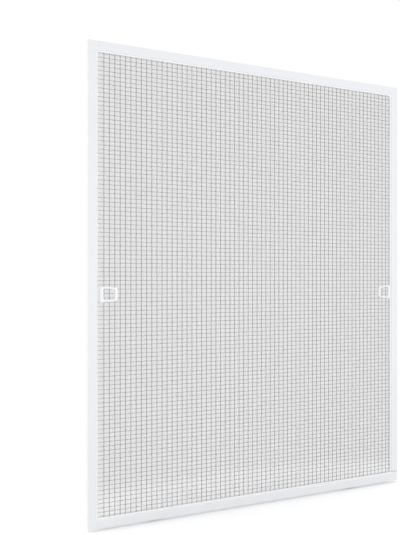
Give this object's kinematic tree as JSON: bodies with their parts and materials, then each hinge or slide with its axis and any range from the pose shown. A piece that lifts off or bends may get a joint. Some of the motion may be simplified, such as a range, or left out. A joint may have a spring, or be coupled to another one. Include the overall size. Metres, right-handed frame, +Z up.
{
  "type": "window screen frame",
  "caption": "White aluminium window screen frame: woven insect mesh clamped by a spline, moulded corners, finger handles, and a brush seal and hanging hooks on the back.",
  "frame": {"origin": "half-way along the top rail's back seat strip, in the seat plane that lies on the window", "axes": "+X to the right seen from the front, +Y from the front (handle side) to the window, +Z up"},
  "size_m": [1, 0.0311, 1.2],
  "materials": {
    "frame_white": "satin white powder coat on extruded aluminium",
    "corner_white": "moulded white plastic, fine satin grain",
    "spline_white": "soft extruded white cord",
    "mesh_grey": "woven coated yarn, dark grey",
    "handle_white": "moulded white plastic, smooth",
    "brush_grey": "dense grey pile on a woven backing",
    "hook_steel": "zinc-plated sheet",
    "screw_steel": "zinc-plated"
  },
  "bodies": {
    "root": {"left_stile": "frame_white", "right_stile": "frame_white", "top_rail": "frame_white", "bottom_rail": "frame_white", "corner_top_left": "corner_white", "corner_top_right": "corner_white", "corner_bottom_left": "corner_white", "corner_bottom_right": "corner_white", "insect_mesh": "mesh_grey", "spline_left": "spline_white", "spline_right": "spline_white", "spline_top": "spline_white", "spline_bottom": "spline_white", "handle_left": "handle_white", "handle_right": "handle_white", "brush_left": "brush_grey", "brush_right": "brush_grey", "brush_top": "brush_grey", "brush_bottom": "brush_grey", "hook_top_left": "hook_steel", "hook_top_right": "hook_steel", "hook_bottom_left": "hook_steel", "hook_bottom_right": "hook_steel", "hook_screws": "screw_steel"}
  },
  "joints": []
}
